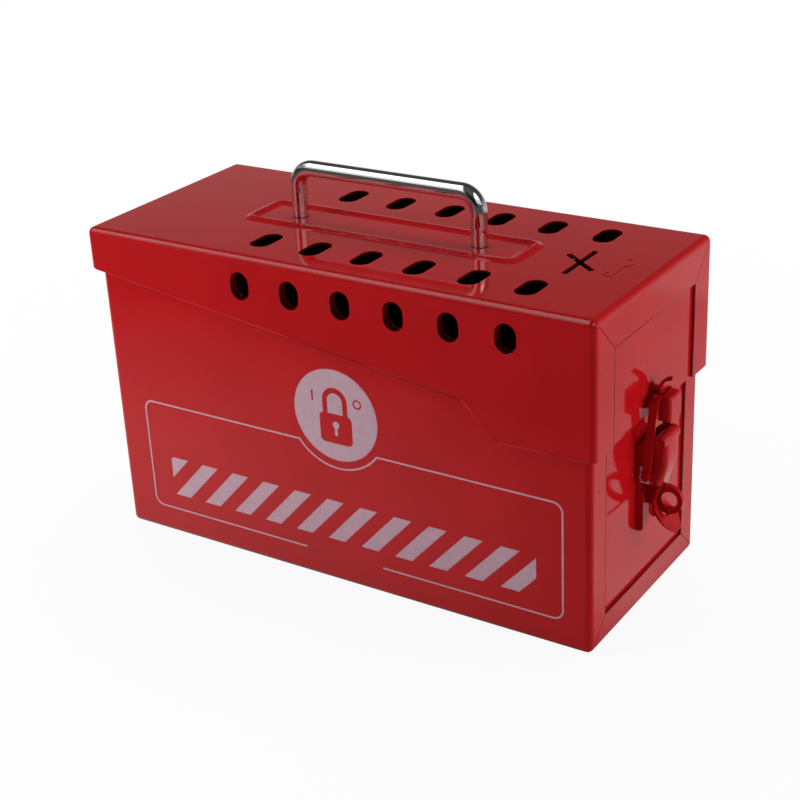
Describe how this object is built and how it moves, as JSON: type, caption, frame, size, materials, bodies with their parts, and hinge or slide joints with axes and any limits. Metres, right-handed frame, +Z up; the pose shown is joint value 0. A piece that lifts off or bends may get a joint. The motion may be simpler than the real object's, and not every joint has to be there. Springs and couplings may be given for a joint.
{
  "type": "group lockout box",
  "caption": "Portable sheet steel lock box with a hinged lid, padlock slots in rows, a key slot, a toggle latch with padlock eye and a carrying handle.",
  "frame": {"origin": "middle of the body's underside, on the surface that the box stands on", "axes": "+Z up, +X from the hinge end towards the latch end, -Y towards the printed front"},
  "size_m": [0.2768, 0.1124, 0.1812],
  "materials": {
    "red_paint": "gloss",
    "chrome": "polished",
    "bright_steel": "zinc plated"
  },
  "bodies": {
    "body": {"body_shell": "red_paint", "body_right_end": "red_paint", "body_left_end": "red_paint", "hinge_body_leaf": "red_paint", "hinge_body_rivets": "bright_steel", "hinge_pin": "bright_steel", "latch_base": "red_paint", "padlock_eye": "red_paint", "lever_pin": "red_paint"},
    "lid": {"lid_shell": "red_paint", "lid_right_end": "red_paint", "lid_left_end": "red_paint", "handle": "chrome", "handle_screws": "bright_steel", "handle_washers": "bright_steel", "hinge_lid_leaf": "red_paint", "hinge_lid_rivets": "bright_steel", "keeper": "red_paint"},
    "lever": {"latch_lever": "red_paint", "arm_rivets": "red_paint"},
    "draw_arm": {"draw_arm": "red_paint"}
  },
  "joints": [
    {"name": "lid_hinge", "type": "hinge", "parent": "body", "child": "lid", "pos_m": [-0.1285, 0, 0.1312], "axis": [0, -1, 0], "range_deg": [0, 100]},
    {"name": "lever_pivot", "type": "hinge", "parent": "body", "child": "lever", "pos_m": [0.1355, 0, 0.0823], "axis": [0, -1, 0], "range_deg": [0, 90]},
    {"name": "draw_arm_pivot", "type": "hinge", "parent": "lever", "child": "draw_arm", "pos_m": [0.1301, 0, 0.0657], "axis": [0, 1, 0], "range_deg": [0, 72]}
  ],
  "couplings": [
    {"joint": "draw_arm_pivot", "follows": "lever_pivot", "ratio": 0.8}
  ]
}
